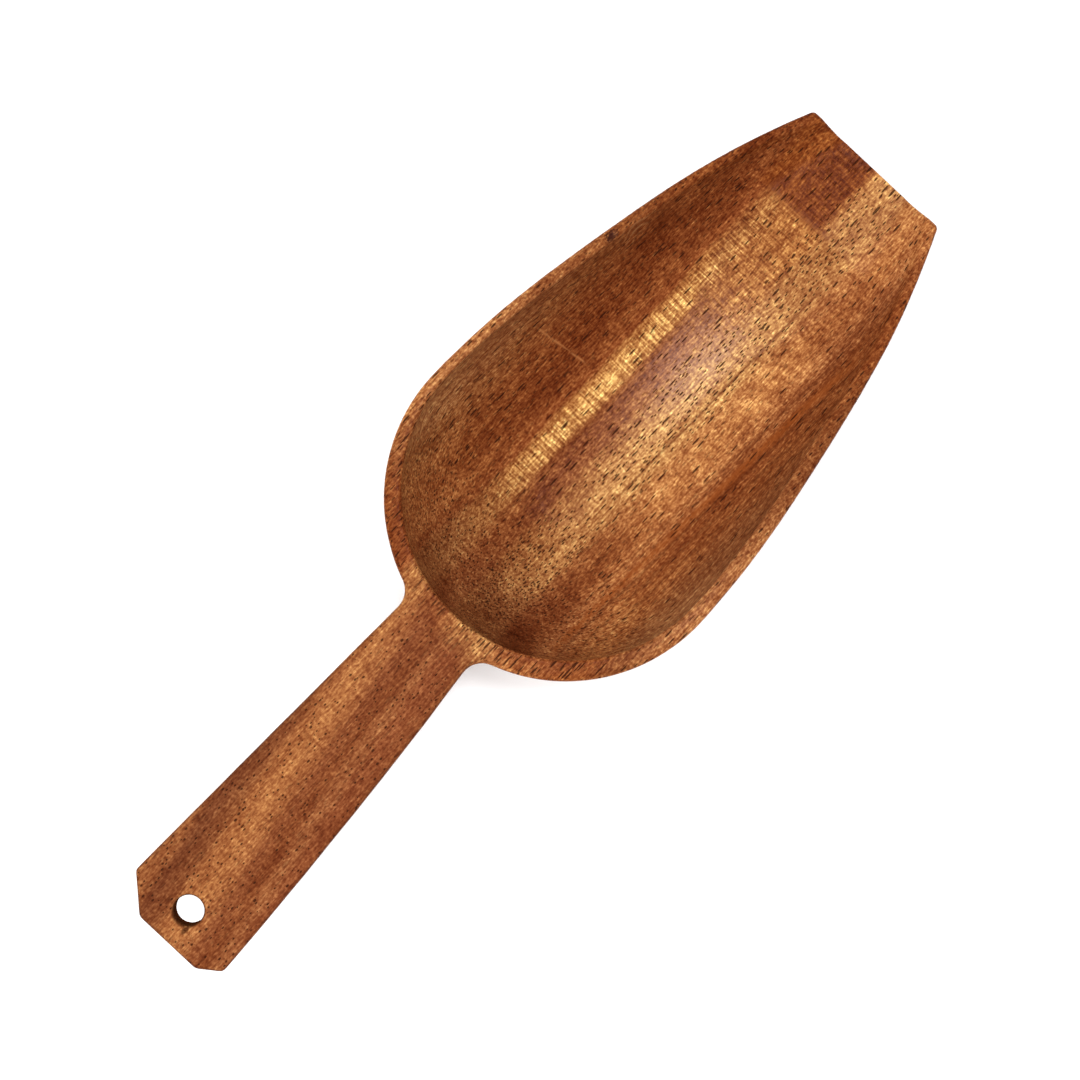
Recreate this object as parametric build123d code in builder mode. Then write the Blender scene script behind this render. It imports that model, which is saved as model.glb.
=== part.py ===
"""Grain scoop: one piece of solid wood, carved to a boat-shaped bowl with a flat tapered handle.

Millimetres. +X runs from the handle to the mouth, +Y to the left of it and +Z up. The origin is on the flat the
scoop rests on, under the middle of the bowl.
"""

import os

from build123d import *

# Side profile of the bowl
RIM_Z = 44.0  # rim at the back of the bowl, level with the top of the handle
RIM_FALL_X = -18.0  # where the rim starts to fall towards the mouth
RIM_STRAIGHT = (36.0, 36.8)  # from here it runs straight to the mouth
MOUTH_X = 116.5
MOUTH_UNDERSIDE_Z = 7.5
HEEL_X = 52.0  # where the flat underside starts to rise to the mouth

# Level outlines of the bowl's outside: round at the back, then half-widths at three stations along X
MIDDLE_X = 50.0
FRONT_X = 98.5
END_X = 126.0
HULL = dict(centre=-4.3, back=47.1, middle=41.8, front=31.6, end=20.3)
HULL_LEVELS = (0, 2, 5, 10, 17, 26, 35, RIM_Z)
HULL_KEEL_Z = -1.5  # the rounded section would close just below the flat
HULL_POWER = 2.4  # squareness of the U-shaped section

# Hollow of the bowl
HOLLOW = dict(centre=-2.4, back=43.4, middle=38.5, front=30.3, end=19.1)
FLOOR_Z = 6.0
HOLLOW_LEVELS = (FLOOR_Z, 7, 9, 12, 17, 25, 34, RIM_Z)
HOLLOW_KEEL_Z = 5.6
HOLLOW_POWER = 2.2
HOLLOW_SHIFT = 0.6  # the hollow is a little to the left at the back, so the right wall is thicker there
HOLLOW_TURN = -0.3
CREASE_X = 94.0  # the floor rises to here, then runs level to the mouth as a thin lip
LIP_Z = 10.8
CREASE_RADIUS = 12.0

# Handle
HANDLE_END_X = -157.9
HANDLE_UNDERSIDE_Z = 34.0
HOLE_CENTRE = (-148.0, -1.5)
HOLE_RADIUS = 4.0

# Rounding
UNDERSIDE_RADIUS = 6.0
FLOOR_RADIUS = 12.0
NECK_RADIUS = 6.0
HANDLE_UNDERSIDE_RADIUS = 3.5
HANDLE_CORNER_RADIUS = 1.5
OUTER_EDGE_RADIUS = 1.2
INNER_EDGE_RADIUS = 0.5
MOUTH_EDGE_RADIUS = 1.0
HOLE_EDGE_RADIUS = 0.4


def section_share(z, keel_z, power):
    """Share of its full width that the U-shaped section has reached at height z."""
    depth = (z - keel_z) / (RIM_Z - keel_z)
    return (1 - (1 - depth) ** power) ** (1 / power)


def boat_shape(levels, keel_z, power, centre, back, middle, front, end):
    """Loft level outlines to a solid that is round at the back and bows in towards the front."""
    with BuildPart() as boat:
        for z in levels:
            share = section_share(z, keel_z, power)
            radius = back * share
            with BuildSketch(Plane.XY.offset(z)):
                with BuildLine():
                    side = Spline(
                        (centre, radius),
                        (MIDDLE_X, middle * share**0.85),
                        (FRONT_X, front * share**0.55),
                        (END_X, end * share**0.4),
                        tangents=[(1, 0), (1, -0.45)],
                    )
                    Line(side @ 1, (END_X, 0))
                    mirror(about=Plane.XZ)
                    ThreePointArc((centre, radius), (centre - radius, 0), (centre, -radius))
                make_face()
        loft()
    return boat.part


# Everything below the rim line and above the underside
with BuildPart() as side_profile:
    with BuildSketch(Plane.XZ.offset(-60)):
        with BuildLine():
            top = Line((-80, RIM_Z), (RIM_FALL_X, RIM_Z))
            fall = TangentArc(top @ 1, RIM_STRAIGHT, tangent=(1, 0))
            slope = PolarLine(
                fall @ 1, MOUTH_X - RIM_STRAIGHT[0], direction=fall % 1, length_mode=LengthMode.HORIZONTAL
            )
            mouth = Line(slope @ 1, (MOUTH_X, MOUTH_UNDERSIDE_Z))
            base = Line((-80, 0), (HEEL_X, 0))
            TangentArc(base @ 1, mouth @ 1, tangent=(1, 0))
            Line(base @ 0, top @ 0)
        make_face()
    extrude(amount=120)

# Everything above the floor of the hollow and the lip
with BuildPart() as floor_profile:
    with BuildSketch(Plane.XZ.offset(-60)):
        with BuildLine():
            floor = Line((-80, FLOOR_Z), (MIDDLE_X, FLOOR_Z))
            rise = TangentArc(floor @ 1, (CREASE_X, LIP_Z), tangent=(1, 0))
            Polyline(rise @ 1, (END_X, LIP_Z), (END_X, RIM_Z), (-80, RIM_Z), floor @ 0)
        make_face()
    extrude(amount=120)
    crease = floor_profile.edges().filter_by(Axis.Y).filter_by_position(Axis.X, CREASE_X - 1, CREASE_X + 1)
    fillet(crease, CREASE_RADIUS)

with BuildPart() as hollow:
    with Locations(Location((0, HOLLOW_SHIFT, 0), (0, 0, HOLLOW_TURN))):
        add(boat_shape(HOLLOW_LEVELS, HOLLOW_KEEL_Z, HOLLOW_POWER, **HOLLOW))
    add(floor_profile.part, mode=Mode.INTERSECT)
    low_edges = hollow.edges().filter_by(lambda edge: edge.bounding_box().max.Z < LIP_Z + 0.1)
    fillet(low_edges.filter_by(GeomType.BSPLINE), FLOOR_RADIUS)

with BuildPart() as handle:
    with BuildSketch(Plane.XY.offset(HANDLE_UNDERSIDE_Z)):
        with BuildLine():
            end = Polyline(
                (-40, 12.3),
                (-149.8, 15.7),
                (HANDLE_END_X, 6.7),
                (HANDLE_END_X, -12.9),
                (-153.6, -18.8),
            )
            right_side = ThreePointArc(end @ 1, (-111.6, -16.4), (-40, -9.5))
            Line(right_side @ 1, end @ 0)
        make_face()
    extrude(amount=RIM_Z - HANDLE_UNDERSIDE_Z)
    fillet(handle.edges().filter_by(Axis.Z).sort_by(Axis.X)[:4], HANDLE_CORNER_RADIUS)
    fillet(handle.faces().sort_by(Axis.Z)[0].edges().sort_by(Axis.X)[:-1], HANDLE_UNDERSIDE_RADIUS)

with BuildPart() as scoop:
    add(boat_shape(HULL_LEVELS, HULL_KEEL_Z, HULL_POWER, **HULL))
    add(side_profile.part, mode=Mode.INTERSECT)
    low_edges = scoop.edges().filter_by(lambda edge: edge.bounding_box().max.Z < MOUTH_UNDERSIDE_Z + 0.1)
    fillet(low_edges.filter_by(GeomType.BSPLINE), UNDERSIDE_RADIUS)

    # The handle runs out of the back of the bowl with a rounded neck
    add(handle.part)
    fillet(scoop.edges(Select.LAST).filter_by_position(Axis.X, -52, -49), NECK_RADIUS)

    # One soft edge runs round the handle and along the outside of the rim
    tops = scoop.faces().filter_by(lambda face: face.normal_at().Z > 0.85)
    outline = tops.edges().filter_by(lambda edge: edge.center().X < RIM_FALL_X - 1 or abs(edge.center().Y) > 20)
    fillet(outline.sort_by(Axis.X), OUTER_EDGE_RADIUS)
    fillet(scoop.faces().sort_by(Axis.X)[-1].edges(), MOUTH_EDGE_RADIUS)

    add(hollow.part, mode=Mode.SUBTRACT)
    new_edges = scoop.edges(Select.LAST)
    rim = scoop.faces().filter_by(lambda face: face.center().Z > 20 and face.normal_at().Z > 0.85)
    inner_edges = rim.edges().filter_by(lambda edge: edge in new_edges and edge.bounding_box().size.X > 1)
    fillet(inner_edges.sort_by(Axis.X), INNER_EDGE_RADIUS)

    with Locations((*HOLE_CENTRE, RIM_Z)):
        Hole(HOLE_RADIUS)
    fillet(scoop.edges(Select.LAST).filter_by(GeomType.CIRCLE), HOLE_EDGE_RADIUS)

os.makedirs("parts", exist_ok=True)
scoop.part.label = "scoop"
export_step(scoop.part, "parts/scoop.step")
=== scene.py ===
"""Looks of the carved acacia scoop: dense body, oiled wood, pale floor, soft light and camera."""

import math

import bmesh
import bpy
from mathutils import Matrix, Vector, noise


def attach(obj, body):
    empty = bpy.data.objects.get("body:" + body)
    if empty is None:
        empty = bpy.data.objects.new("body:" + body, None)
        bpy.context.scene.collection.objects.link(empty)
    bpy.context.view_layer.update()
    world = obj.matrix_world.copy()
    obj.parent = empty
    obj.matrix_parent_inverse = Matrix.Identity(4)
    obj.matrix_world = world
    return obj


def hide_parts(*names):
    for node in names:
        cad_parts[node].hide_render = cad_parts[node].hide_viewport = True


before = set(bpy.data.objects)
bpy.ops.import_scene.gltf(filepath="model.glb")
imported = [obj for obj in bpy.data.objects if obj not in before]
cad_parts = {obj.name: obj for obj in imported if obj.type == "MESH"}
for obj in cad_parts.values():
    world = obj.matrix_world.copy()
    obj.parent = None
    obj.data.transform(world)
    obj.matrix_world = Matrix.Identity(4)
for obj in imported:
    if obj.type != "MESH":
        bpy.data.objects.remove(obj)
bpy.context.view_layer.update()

MM = 0.001

# ---------------------------------------------------------------- body mesh, sizes in mm

VOXEL = 0.5
WELD = 0.002
SMOOTH_PASSES = 5
FACE_LIMIT = 190000
SANDING = ((0.07, 13.0), (0.03, 5.0))  # height and length of the waves that sanding leaves
KNOT = (54.0, 38.3, 32.5)
KNOT_DEPTH = 0.5
KNOT_REACH = 2.6
HOLE = (-148.0, -1.5)
CHIP = (-152.3, -4.3, 44.0)
CHIP_DEPTH = 0.9
CHIP_REACH = (1.9, 0.8, 1.6)
CHIP_RAGGED = (0.5, 1.7)  # share and frequency of the uneven edge


def apply_modifiers(obj):
    """Replace the object's mesh with its modified one."""
    bpy.context.view_layer.update()
    graph = bpy.context.evaluated_depsgraph_get()
    mesh = bpy.data.meshes.new_from_object(obj.evaluated_get(graph))
    old = obj.data
    obj.modifiers.clear()
    obj.data = mesh
    bpy.data.meshes.remove(old)


def falloff(distance, reach):
    """1 at no distance, smoothly down to 0 at reach."""
    share = max(0.0, 1 - distance / reach)
    return share * share * (3 - 2 * share)


def carve(mesh):
    """Hand-finished surface: slight waves from sanding, a sunk knot and a chip beside the hole."""
    ragged, frequency = CHIP_RAGGED
    shifts = []
    for vertex in mesh.vertices:
        place = vertex.co / MM
        depth = sum(height * noise.noise(place / length) for height, length in SANDING)
        depth -= KNOT_DEPTH * falloff((place - Vector(KNOT)).length, KNOT_REACH)
        torn = Vector([gap / reach for gap, reach in zip(place - Vector(CHIP), CHIP_REACH)]).length
        depth -= CHIP_DEPTH * falloff(torn * (1 + ragged * noise.noise(place * frequency)), 1.0)
        shifts.append(vertex.co + vertex.normal * depth * MM)
    mesh.vertices.foreach_set("co", [level for place in shifts for level in place])
    mesh.update()


def build_body():
    """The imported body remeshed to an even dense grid, eased and carved."""
    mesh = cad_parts["scoop"].data.copy()
    body = bpy.data.objects.new("scoop_wood", mesh)
    bpy.context.scene.collection.objects.link(body)
    bm = bmesh.new()
    bm.from_mesh(mesh)
    bmesh.ops.remove_doubles(bm, verts=bm.verts, dist=WELD * MM)
    bm.to_mesh(mesh)
    bm.free()
    remesh = body.modifiers.new("grid", "REMESH")
    remesh.mode = "VOXEL"
    remesh.voxel_size = VOXEL * MM
    remesh.adaptivity = 0
    smooth = body.modifiers.new("smooth", "SMOOTH")
    smooth.factor = 0.5
    smooth.iterations = SMOOTH_PASSES
    apply_modifiers(body)
    count = len(body.data.polygons) * 2
    if count > FACE_LIMIT:
        decimate = body.modifiers.new("thin_out", "DECIMATE")
        decimate.ratio = FACE_LIMIT / count
        decimate.use_collapse_triangulate = True
        apply_modifiers(body)
    carve(body.data)
    body.data.polygons.foreach_set("use_smooth", [True] * len(body.data.polygons))
    return body


body = build_body()

# ---------------------------------------------------------------- shader helpers

material = bpy.data.materials.new("acacia_wood")
material.use_nodes = True
tree = material.node_tree


def plug(socket, value):
    """Link a node's output to the socket, or set the socket to a plain value."""
    if isinstance(value, bpy.types.NodeSocket):
        tree.links.new(value, socket)
    else:
        socket.default_value = value


def calc(operation, *values):
    node = tree.nodes.new("ShaderNodeMath")
    node.operation = operation
    for socket, value in zip(node.inputs, values):
        plug(socket, value)
    return node.outputs[0]


def add(first, *rest):
    for value in rest:
        first = calc("ADD", first, value)
    return first


def mul(first, *rest):
    for value in rest:
        first = calc("MULTIPLY", first, value)
    return first


def sub(a, b):
    return calc("SUBTRACT", a, b)


def smooth(value, low, high):
    """0 below low and 1 above high, or the other way round when low is the larger."""
    node = tree.nodes.new("ShaderNodeMapRange")
    node.interpolation_type = "SMOOTHSTEP"
    plug(node.inputs["Value"], value)
    plug(node.inputs["From Min"], low)
    plug(node.inputs["From Max"], high)
    return node.outputs["Result"]


def window(value, low, high, soft):
    """1 between low and high, fading over soft on each side."""
    return mul(smooth(value, low - soft, low + soft), smooth(value, high + soft, high - soft))


def squared(value, centre, width):
    """Square of the distance from the centre, counted in widths."""
    offset = calc("DIVIDE", sub(value, centre), width)
    return mul(offset, offset)


def bell(value, centre, width):
    """1 at the centre, fading to 0 over about two widths."""
    return calc("EXPONENT", mul(squared(value, centre, width), -1.0))


def distance(first, second):
    """Distance in a plane; each part is a value, its centre and its width."""
    return calc("SQRT", add(squared(*first), squared(*second)))


def wave(value, pitch):
    return calc("SINE", mul(value, 2 * math.pi / pitch))


def vector(x, y, z):
    node = tree.nodes.new("ShaderNodeCombineXYZ")
    for socket, value in zip(node.inputs, (x, y, z)):
        plug(socket, value)
    return node.outputs[0]


def cloud(x, y, z, detail=2.0, roughness=0.5, distortion=0.0):
    """Noise around 0, about -1 to 1, at coordinates already scaled to its frequency."""
    node = tree.nodes.new("ShaderNodeTexNoise")
    node.inputs["Scale"].default_value = 1.0
    node.inputs["Detail"].default_value = detail
    node.inputs["Roughness"].default_value = roughness
    node.inputs["Distortion"].default_value = distortion
    plug(node.inputs["Vector"], vector(x, y, z))
    return calc("MULTIPLY_ADD", node.outputs["Fac"], 4.0, -2.0)


def ramp(value, start, end, stops):
    """Colour along value from start to end; stops are (place, colour) pairs in that order."""
    node = tree.nodes.new("ShaderNodeValToRGB")
    elements = node.color_ramp.elements
    node.color_ramp.interpolation = "EASE"
    while len(elements) < len(stops):
        elements.new(0.5)
    for element, (place, colour) in zip(elements, stops):
        element.position = (place - start) / (end - start)
        element.color = srgb(*colour)
    plug(node.inputs["Fac"], calc("DIVIDE", sub(value, start), end - start))
    return node.outputs["Color"]


def srgb(red, green, blue):
    """Linear colour from 0-255 screen levels."""

    def linear(level):
        level /= 255
        return level / 12.92 if level < 0.04045 else ((level + 0.055) / 1.055) ** 2.4

    return (linear(red), linear(green), linear(blue), 1)


def blend(first, second, share):
    node = tree.nodes.new("ShaderNodeMix")
    node.data_type = "RGBA"
    plug(node.inputs["Factor"], share)
    plug(node.inputs["A"], first)
    plug(node.inputs["B"], second)
    return next(socket for socket in node.outputs if socket.type == "RGBA")


def multiplied(colour, tint):
    node = tree.nodes.new("ShaderNodeVectorMath")
    node.operation = "MULTIPLY"
    plug(node.inputs[0], colour)
    plug(node.inputs[1], tint)
    return node.outputs[0]


def brighten(colour, factor):
    node = tree.nodes.new("ShaderNodeVectorMath")
    node.operation = "SCALE"
    plug(node.inputs[0], colour)
    plug(node.inputs["Scale"], factor)
    return node.outputs[0]


def pores(length, width, radius, seed, keep):
    """Mask of cut-open vessels, short tubes along x; keep is the share of them that is left."""
    node = tree.nodes.new("ShaderNodeTexVoronoi")
    node.inputs["Scale"].default_value = 1.0
    drift = mul(cloud(mul(x, 0.05), mul(y, 0.3), mul(z, 0.3)), 0.25)
    along = calc("MULTIPLY_ADD", x, 1 / length, seed)
    plug(node.inputs["Vector"], vector(along, add(mul(y, 1 / width), drift), mul(z, 1 / width)))
    split = tree.nodes.new("ShaderNodeSeparateColor")
    plug(split.inputs["Color"], node.outputs["Color"])
    size = mul(calc("MULTIPLY_ADD", split.outputs["Red"], 0.6, 0.7), radius)
    core = smooth(calc("DIVIDE", node.outputs["Distance"], size), 1.0, 0.7)
    return mul(core, calc("LESS_THAN", split.outputs["Green"], keep))


# ---------------------------------------------------------------- acacia

places = tree.nodes.new("ShaderNodeTexCoord")
split_place = tree.nodes.new("ShaderNodeSeparateXYZ")
plug(split_place.inputs[0], brighten(places.outputs["Object"], 1000.0))
x, y, z = split_place.outputs
geometry = tree.nodes.new("ShaderNodeNewGeometry")
split_normal = tree.nodes.new("ShaderNodeSeparateXYZ")
plug(split_normal.inputs[0], geometry.outputs["Normal"])
facing_up = split_normal.outputs["Z"]
below = smooth(facing_up, -0.2, -0.6)

# Places and widths below are millimetres in the part's frame: +X to the mouth, +Y to the left.
# A window is given by its low side, high side and softness, a bell by its centre and width.
# The figure adds up all light and dark markings, painted shade and painted light among them, as the
# logarithm of the wood's brightness.


def field(along, around, **kind):
    """Noise with its own frequency along the grain and around it, in cycles per mm."""
    return cloud(mul(x, along), mul(y, around), mul(z, around), **kind)


# screen colours of the markings, and of the painted shade and sheen
FADED_GOLD = (158, 96, 54)
RAGGED_GOLD = (156, 90, 48)
SPREAD_GOLD_AND_SHEEN = (188, 122, 68)
LIP_HEARTWOOD = (134, 68, 30)
KNOT_CORE = (46, 20, 16)
KNOT_CURLS = (150, 104, 66)
FLOOR_LINE = (96, 44, 20)
WALL_BAND = (132, 66, 26)
WALL_LINES = (70, 28, 10)
VESSELS = (44, 18, 8)
HOLE_SHADE_COLOUR = (58, 24, 10)
SCRATCH = (170, 110, 64)

# slow wander of the grain, fine fibres and cross figure
wander = field(0.012, 0.05, detail=1.0)
ripple = field(0.06, 0.35)
fibre = field(0.035, 1.1, detail=3.0, roughness=0.65)
fine = field(0.16, 2.0, detail=1.0, roughness=0.7)
grit = field(0.85, 1.7, detail=1.0, roughness=0.8)
curl = field(0.9, 0.28, distortion=0.6)
mottle = field(0.07, 0.16)

across = add(y, mul(wander, 0.7), mul(ripple, 0.45), mul(fibre, 0.22))

# bowl: ribbons across the width, left side first
BOWL_RIBBONS = (
    (46, (178, 114, 68)),
    (41, (150, 88, 50)),
    (37, (140, 78, 41)),
    (33, (134, 70, 35)),
    (28, (124, 61, 29)),
    (21.5, (132, 68, 34)),
    (18.8, (146, 78, 41)),
    (17.4, (188, 124, 70)),
    (14, (212, 152, 90)),
    (11.8, (196, 134, 78)),
    (10.0, (148, 84, 46)),
    (7, (142, 78, 42)),
    (3, (150, 86, 48)),
    (0.6, (170, 108, 62)),
    (-5, (196, 136, 82)),
    (-11, (198, 138, 84)),
    (-14, (184, 118, 70)),
    (-19, (182, 114, 66)),
    (-23, (172, 104, 60)),
    (-26, (152, 86, 48)),
    (-29, (140, 74, 38)),
    (-34, (144, 78, 40)),
    (-39, (142, 82, 46)),
    (-43, (168, 106, 64)),
    (-46, (176, 112, 68)),
)
bowl_colour = ramp(across, 46, -46, BOWL_RIBBONS)

# handle: ribbons slanting towards the left of the neck
HANDLE_SLANT = 0.152
HANDLE_MIDDLE_X = -90.0
HANDLE_RIBBONS = (
    (24, (166, 104, 62)),
    (20, (160, 98, 58)),
    (17, (132, 76, 46)),
    (13.5, (138, 80, 47)),
    (10, (172, 108, 64)),
    (6.6, (190, 126, 76)),
    (3, (174, 110, 66)),
    (0, (146, 84, 50)),
    (-3.5, (140, 78, 44)),
    (-6.5, (158, 96, 58)),
    (-10, (148, 84, 50)),
    (-14, (140, 78, 45)),
    (-18, (162, 100, 60)),
    (-24, (160, 96, 58)),
)
slant = sub(across, mul(sub(x, HANDLE_MIDDLE_X), HANDLE_SLANT))
handle_colour = ramp(slant, 24, -24, HANDLE_RIBBONS)
fading = mul(window(across, 9.0, 19.0, 1.2), smooth(x, 4.0, -26.0))
bowl_colour = blend(bowl_colour, srgb(*FADED_GOLD), mul(fading, 0.85))
on_handle = smooth(add(x, mul(fibre, 2.0)), -44.0, -56.0)
colour = blend(bowl_colour, handle_colour, on_handle)

# growth rings: curved lines on the walls, wide figure on the floor
PITH = (-10.0, -60.0)  # y and z of the tree's middle
RING_PITCH = 3.6
radius = distance((y, PITH[0], 1.0), (z, PITH[1], 1.0))
rings = wave(add(radius, mul(ripple, 0.9), mul(wander, 2.5), mul(x, -0.02)), RING_PITCH)
figure_and_painted_light = add(
    mul(rings, 0.07), mul(fibre, 0.36), mul(fine, 0.42), mul(grit, 0.72), mul(curl, 0.38), mul(mottle, 0.24)
)

# golden ribbon with bars across it, brightened a little by painted sheen in the middle of the floor
golden = mul(window(across, 10.6, 17.4, 0.8), window(x, -14.0, 90.0, 6.0), smooth(z, 24.0, 16.0))
bars = smooth(field(1.7, 0.12, detail=1.0, distortion=0.4), -0.6, 0.6)
figure_and_painted_light = add(figure_and_painted_light, mul(golden, add(mul(sub(bars, 0.5), 1.0), mul(bell(x, 36.0, 26.0), 0.08))))
ragged = mul(window(across, 10.6, 19.0, 0.8), smooth(add(x, mul(curl, 5.0), mul(fibre, 7.0)), 58.0, 84.0))
colour = blend(colour, srgb(*RAGGED_GOLD), mul(ragged, 0.6))
figure_and_painted_light = add(figure_and_painted_light, mul(bell(y, 16.4, 1.5), window(x, 30.0, 98.0, 14.0), -0.4))

# towards the back, painted shade darkens the heart of the bowl and painted light makes its sides paler, with
# more painted shade on the right at the very back and in a band on the right from the middle backwards
side = add(mul(smooth(calc("ABSOLUTE", across), 17.0, 24.0), 1.0), mul(smooth(across, 15.0, 24.0), 0.3))
back = smooth(x, 12.0, -34.0)
in_bowl = smooth(x, -47.0, -44.0)
inside = smooth(add(z, mul(smooth(x, 20.0, 116.0), 29.0)), 43.9, 42.5)
figure_and_painted_light = add(figure_and_painted_light, mul(back, in_bowl, inside, add(mul(side, 0.9), -0.4)))
figure_and_painted_light = add(figure_and_painted_light, mul(smooth(x, -28.0, -42.0), smooth(across, 4.0, -3.0), in_bowl, inside, -0.35))
figure_and_painted_light = add(figure_and_painted_light, mul(window(across, -21.0, -13.0, 2.0), smooth(x, 16.0, -20.0), in_bowl, -0.32))
# patches of figure in the wood, with painted light among them: the dark ones at the back on the right (x -28
# and -39, y below 0) are painted shade, the pale ones at the back on the left (x -28 and -39, y above 0) are
# painted light, and the dark one at x 66, y 31 is painted shade on the wall below the knot
FIGURE_AND_PAINTED_LIGHT_PATCHES = (  # paler and darker patches: x, reach along x, y, reach along y, strength
    (66.0, 10.0, 31.0, 3.0, -0.45),
    (-28.0, 8.0, 10.0, 7.0, 0.4),
    (-28.0, 9.0, -23.5, 4.5, -0.5),
    (50.0, 10.0, -18.0, 4.5, 0.28),
    (84.0, 9.0, -18.0, 4.5, -0.42),
    (89.0, 7.0, -8.0, 4.0, -0.45),
    (108.0, 7.0, -13.0, 4.0, -0.22),
    (-39.0, 6.0, -11.0, 7.0, -0.5),
    (-39.0, 6.0, 5.0, 4.0, 0.45),
    (12.0, 17.0, 36.0, 4.0, 0.26),
    (-14.0, 22.0, -31.0, 5.0, 0.28),
    (44.0, 20.0, -42.0, 3.0, -0.32),
    (66.0, 9.0, -36.5, 2.5, -0.3),
    (9.0, 11.0, 9.6, 1.7, -0.45),
    (78.0, 8.0, 31.0, 3.0, 0.25),
    (110.0, 7.0, 15.6, 1.8, 0.45),
    (-8.0, 18.0, -18.8, 3.5, -0.3),
    (-39.0, 5.0, -16.0, 3.5, -0.4),
    (-20.0, 10.0, 11.0, 6.0, 0.22),
    (2.0, 12.0, -26.0, 2.6, 0.25),
    (80.0, 8.0, -23.5, 4.0, -0.28),
    (44.0, 32.0, 20.5, 2.2, 0.2),
    (42.0, 14.0, 5.2, 2.2, 0.26),
    (50.0, 8.0, 31.2, 2.0, -0.35),
    (-18.0, 8.0, 36.4, 2.5, -0.25),
    (92.0, 7.0, -7.0, 4.0, -0.2),
    (90.0, 7.0, -21.0, 3.0, -0.25),
    (-28.0, 7.0, -21.0, 3.0, -0.32),
    (-39.0, 5.0, -5.2, 3.0, -0.28),
    (42.0, 16.0, -42.0, 2.0, -0.22),
    (9.0, 10.0, 10.2, 1.2, -0.25),
)
for middle, reach, level, spread_y, strength in FIGURE_AND_PAINTED_LIGHT_PATCHES:
    figure_and_painted_light = add(figure_and_painted_light, mul(bell(x, middle, reach), bell(y, level, spread_y), strength))

# painted sheen makes the middle of the floor the palest, with feathery figure across its right side
figure_and_painted_light = add(figure_and_painted_light, mul(bell(x, 36.0, 30.0), window(across, -25.0, 18.0, 3.0), 0.24))
feather = cloud(mul(add(x, mul(y, 0.4)), 0.17), mul(y, 0.06), mul(z, 0.06), detail=2.0, roughness=0.6)
figure_and_painted_light = add(figure_and_painted_light, mul(feather, window(across, -25.0, -12.0, 2.5), window(x, 4.0, 92.0, 10.0), 0.5))

# on the rising floor the gold spreads into the brown ribbon, either side of a dark line; this is partly the
# wood's gold and partly painted sheen
gold_and_sheen_spread = mul(window(across, -1.5, 11.0, 1.5), smooth(x, 42.0, 70.0))
colour = blend(colour, srgb(*SPREAD_GOLD_AND_SHEEN), mul(gold_and_sheen_spread, 0.75))
figure_and_painted_light = add(figure_and_painted_light, mul(gold_and_sheen_spread, sub(bars, 0.5), 0.5))
figure_and_painted_light = add(figure_and_painted_light, mul(bell(add(y, mul(x, 0.03)), 7.2, 0.9), window(x, 30.0, 92.0, 10.0), -0.5))

# the lip is cut through darker wood on its left half, which hardly shows underneath
on_lip = smooth(add(x, mul(grit, 0.9), mul(curl, 0.8)), 92.4, 95.4)
on_lip = mul(on_lip, sub(1.0, mul(below, 0.8)))
colour = blend(colour, srgb(*LIP_HEARTWOOD), mul(window(across, -0.5, 21.0, 1.5), on_lip))
figure_and_painted_light = add(figure_and_painted_light, mul(window(across, 1.5, 9.5, 1.5), on_lip, -0.3))

HANDLE_GAIN = -0.2
HANDLE_CALM = 0.2
figure_and_painted_light = add(mul(figure_and_painted_light, sub(1.0, mul(on_handle, HANDLE_CALM))), mul(on_handle, HANDLE_GAIN))
EXPOSURE = 0.62  # the stops above are the oiled wood in full light
OIL = (1.0, 0.95, 0.87)
DEPTH = (0.72, 1.06, 1.16)  # darker wood is redder, paler wood is more golden
WALL_BOUNCE_TINT = (0.07, 0.12, 0.22)
shares = [mul(calc("EXPONENT", mul(figure_and_painted_light, depth)), EXPOSURE * oil) for oil, depth in zip(OIL, DEPTH)]
colour = multiplied(colour, vector(*shares))

# painted tint against bounce light: the steep walls are a little greyer than the floor, offsetting the
# orange light the wood throws onto them
on_wall = mul(smooth(facing_up, 0.93, 0.6), inside, in_bowl)
colour = multiplied(colour, vector(*[add(1.0, mul(on_wall, share)) for share in WALL_BOUNCE_TINT]))

# knot on the left rim with pale curls beside it
CURL_PITCH = 1.1
knot = distance((x, KNOT[0], 1.7), (y, KNOT[1], 1.0))
colour = blend(colour, srgb(*KNOT_CORE), mul(smooth(add(knot, mul(grit, 0.5)), 1.6, 0.6), 0.88))
swirl = wave(add(y, mul(calc("SINE", mul(x, 0.5)), 0.6), mul(ripple, 0.5)), CURL_PITCH)
curls = mul(bell(x, 60.0, 5.0), bell(y, 35.2, 1.6), smooth(swirl, 0.3, 1.0))
colour = blend(colour, srgb(*KNOT_CURLS), mul(curls, 0.6))

# growth line that parts the two golden zones
line_place = add(y, mul(ripple, 0.35), mul(x, 0.022))
line = mul(bell(line_place, -9.6, 0.34), window(x, 6.0, 84.0, 5.0), smooth(facing_up, 0.8, 0.95))
colour = blend(colour, srgb(*FLOOR_LINE), mul(line, 0.75))

# growth lines curving along the right wall
lean = add(y, mul(x, 0.055), mul(ripple, 0.3))
wall = window(x, -36.0, 74.0, 8.0)
colour = blend(colour, srgb(*WALL_BAND), mul(bell(lean, -26.6, 0.9), wall, 0.6))
LINES = (  # y, width, strength
    (-28.2, 0.35, 0.5),
    (-31.0, 0.3, 0.4),
    (-33.6, 0.28, 0.35),
    (-23.4, 0.3, 0.3),
)
for place, width, strength in LINES:
    colour = blend(colour, srgb(*WALL_LINES), mul(bell(lean, place, width), wall, strength))

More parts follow.
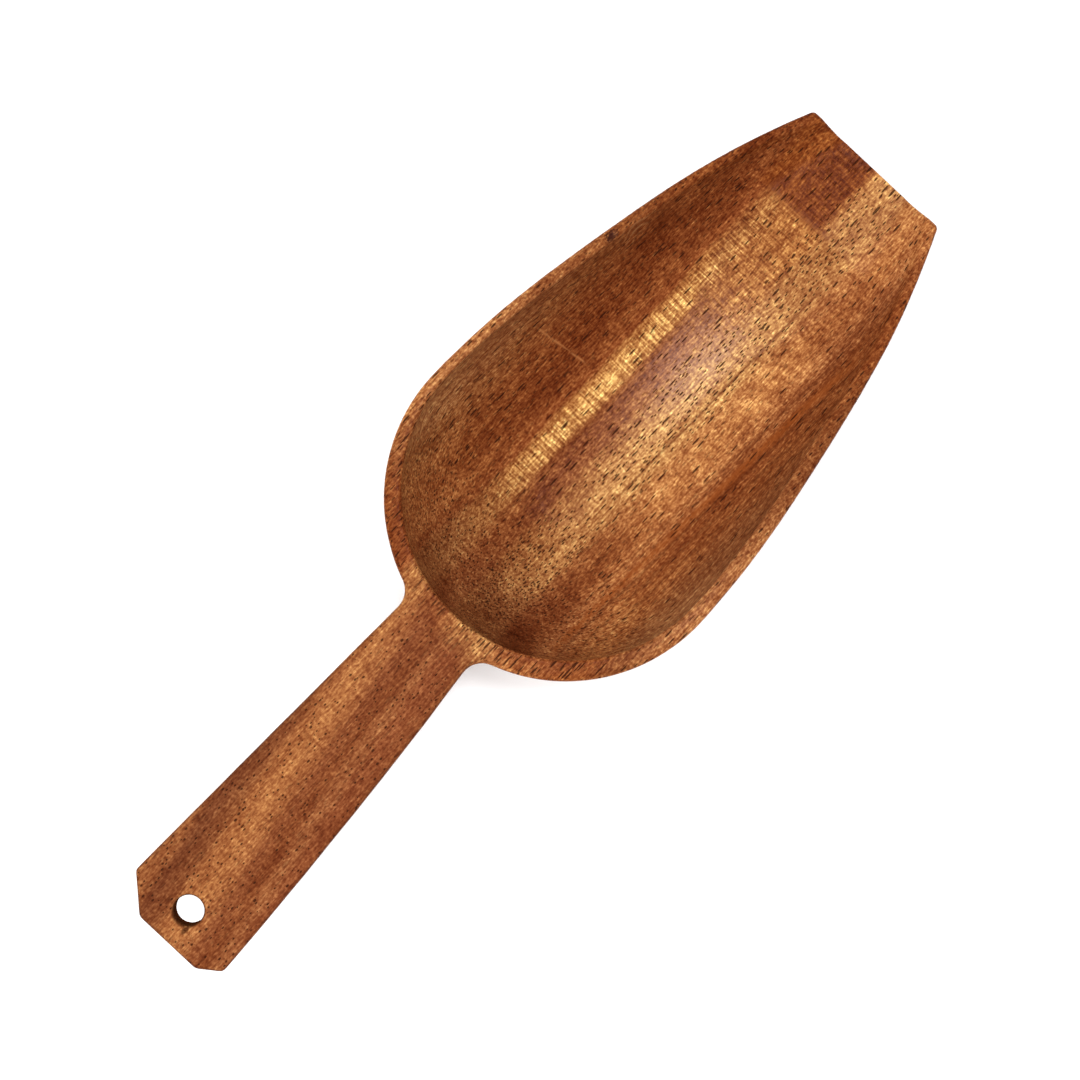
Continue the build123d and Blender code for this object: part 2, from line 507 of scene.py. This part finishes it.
# vessels: short and long streaks in the bowl, longer ones on the rim, dots on the handle
short_pores = pores(length=2.2, width=0.66, radius=0.29, seed=3.7, keep=0.85)
long_pores = pores(length=7.0, width=1.15, radius=0.22, seed=11.3, keep=0.8)
dots = pores(length=1.7, width=0.95, radius=0.25, seed=5.1, keep=0.6)
rim_pores = pores(length=9.0, width=0.8, radius=0.27, seed=7.9, keep=0.7)
open_grain = add(0.45, mul(window(across, -13.0, 1.5, 1.2), 0.55), mul(window(across, 22.0, 40.0, 2.0), 0.3))
off_handle = sub(1.0, on_handle)
on_rim = mul(sub(1.0, inside), off_handle, smooth(facing_up, 0.8, 0.95), smooth(x, 60.0, 20.0))
streaks = calc("MAXIMUM", mul(short_pores, open_grain), long_pores)
streaks = calc("MAXIMUM", streaks, mul(rim_pores, calc("MAXIMUM", on_rim, mul(back, in_bowl, 0.95))))
pore = calc("MAXIMUM", mul(streaks, add(0.35, mul(off_handle, 0.65))), mul(dots, on_handle, 0.95))
colour = blend(colour, srgb(*VESSELS), mul(pore, 0.88))

# painted shade inside the hole and in the chip beside it, painted shadow on the hole's far wall, and painted
# shade along the handle's rounded edges
hole = distance((x, HOLE[0], 1.0), (y, HOLE[1], 1.0))
painted_hole_shade = mul(smooth(hole, 4.7, 4.2), smooth(facing_up, 0.8, 0.4))
chip = distance((x, CHIP[0], CHIP_REACH[0]), (y, CHIP[1], CHIP_REACH[1]))
painted_hole_shade = calc("MAXIMUM", painted_hole_shade, mul(smooth(chip, 1.0, 0.5), smooth(z, 42.0, 42.6)))
hole_far_wall_shade = mul(smooth(hole, 5.0, 4.3), smooth(x, -149.5, -151.5), window(y, -5.2, 1.5, 1.2))
painted_hole_shade = calc("MAXIMUM", painted_hole_shade, mul(hole_far_wall_shade, 0.75))
colour = blend(colour, srgb(*HOLE_SHADE_COLOUR), mul(painted_hole_shade, 0.8))
# painted shade along the handle's rounded edges, darker where they turn away from the light
colour = brighten(colour, sub(1.0, mul(on_handle, bell(facing_up, 0.62, 0.2), 0.28)))

# pale scratch across the left wall, on the inside only
scratch_line = sub(x, calc("MULTIPLY_ADD", sub(37.0, y), 0.17, 23.6))
scratch = mul(bell(scratch_line, 0.0, 0.32), window(y, 21.0, 36.0, 1.5), smooth(curl, -0.8, 0.6))
scratch = mul(scratch, smooth(facing_up, 0.0, 0.3))
colour = blend(colour, srgb(*SCRATCH), mul(scratch, 0.55))

# gloss of the oil and relief of the grain
ROUGHNESS = 0.29
DULL_GLOSS = 0.02
RUBBED_GLOSS = 0.13
VESSEL_DEPTH = 0.12
shader = tree.nodes["Principled BSDF"]
plug(shader.inputs["Base Color"], colour)
roughness = add(ROUGHNESS, mul(fibre, 0.04), mul(pore, 0.3), mul(mottle, 0.03), mul(painted_hole_shade, 0.5))
plug(shader.inputs["Roughness"], roughness)
polish = mul(bell(x, 47.0, 20.0), bell(y, -0.5, 8.5))  # the floor of the bowl is rubbed smoother by use
plug(shader.inputs["Specular IOR Level"], mul(add(DULL_GLOSS, mul(polish, RUBBED_GLOSS)), sub(1.0, painted_hole_shade)))
bump = tree.nodes.new("ShaderNodeBump")
bump.inputs["Strength"].default_value = 1.0
bump.inputs["Distance"].default_value = MM
relief = add(mul(pore, -VESSEL_DEPTH), mul(fine, 0.008), mul(fibre, 0.02), mul(curl, 0.012))
plug(bump.inputs["Height"], relief)
plug(shader.inputs["Normal"], bump.outputs[0])

body.data.materials.clear()
body.data.materials.append(material)
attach(body, "root")
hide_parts("scoop")

# ---------------------------------------------------------------- floor, light and camera

CAMERA_PLACE = (-0.01669, -0.00226, 0.890)
TURN = 46.85  # degrees from the picture's right edge up to the scoop's +X
LENS = 109.7
SENSOR_WIDTH = 36
FLOOR_HALF = 3.0
FLOOR_DROP = 0.0002  # keeps the floor's plane clear of the flat under the scoop
PAPER = (0.93, 0.93, 0.93, 1)
WHITE = (1, 1, 1, 1)
PAPER_ROUGHNESS = 0.9
PAPER_GLOW = 0.1
STUDIO_LEVEL = 0.95
STUDIO_REFLECTED = 0.12
LAMPS = (  # name, place, target, diameter, power, colour
    ("key", (-0.6, 0.3, 1.5), (0, 0, 0), 1.3, 17, (1, 1, 1)),
    ("top", (0.13, -0.01, 0.95), (0.08, 0, 0), 0.15, 3.6, (0.93, 0.96, 1.0)),
)

floor_mesh = bpy.data.meshes.new("floor")
corners = [(-FLOOR_HALF, -FLOOR_HALF, 0), (FLOOR_HALF, -FLOOR_HALF, 0)]
corners += [(FLOOR_HALF, FLOOR_HALF, 0), (-FLOOR_HALF, FLOOR_HALF, 0)]
floor_mesh.from_pydata(corners, [], [(0, 1, 2, 3)])
floor = bpy.data.objects.new("floor", floor_mesh)
bpy.context.scene.collection.objects.link(floor)
floor.location.z = -FLOOR_DROP
paper = bpy.data.materials.new("paper")
paper.use_nodes = True
paper_inputs = paper.node_tree.nodes["Principled BSDF"].inputs
paper_inputs["Base Color"].default_value = PAPER
paper_inputs["Roughness"].default_value = PAPER_ROUGHNESS
paper_inputs["Emission Color"].default_value = WHITE
paper_inputs["Emission Strength"].default_value = PAPER_GLOW
floor_mesh.materials.append(paper)


def area_light(name, place, target, size, power, colour):
    """Round soft lamp at place, aimed at target."""
    light = bpy.data.lights.new(name, "AREA")
    light.shape = "DISK"
    light.size = size
    light.energy = power
    light.color = colour
    lamp = bpy.data.objects.new(name, light)
    bpy.context.scene.collection.objects.link(lamp)
    lamp.location = place
    direction = Vector(target) - Vector(place)
    lamp.rotation_euler = direction.to_track_quat("-Z", "Y").to_euler()
    return lamp


lamps = {lamp[0]: area_light(*lamp) for lamp in LAMPS}
lamps["key"].visible_glossy = False

# a white studio that the wood's gloss sees as dim, so only the lamps leave a sheen
world = bpy.data.worlds.new("studio")
bpy.context.scene.world = world
world.use_nodes = True
background = world.node_tree.nodes["Background"]
background.inputs["Color"].default_value = WHITE
ray = world.node_tree.nodes.new("ShaderNodeLightPath")
level = world.node_tree.nodes.new("ShaderNodeMapRange")
level.inputs["To Min"].default_value = STUDIO_LEVEL
level.inputs["To Max"].default_value = STUDIO_REFLECTED
world.node_tree.links.new(ray.outputs["Is Glossy Ray"], level.inputs["Value"])
world.node_tree.links.new(level.outputs["Result"], background.inputs["Strength"])

camera_data = bpy.data.cameras.new("camera")
camera_data.lens = LENS
camera_data.sensor_width = SENSOR_WIDTH
camera = bpy.data.objects.new("camera", camera_data)
bpy.context.scene.collection.objects.link(camera)
camera.location = CAMERA_PLACE
camera.rotation_euler = (0, 0, math.radians(-TURN))
bpy.context.scene.camera = camera
bpy.context.scene.view_settings.view_transform = "Standard"
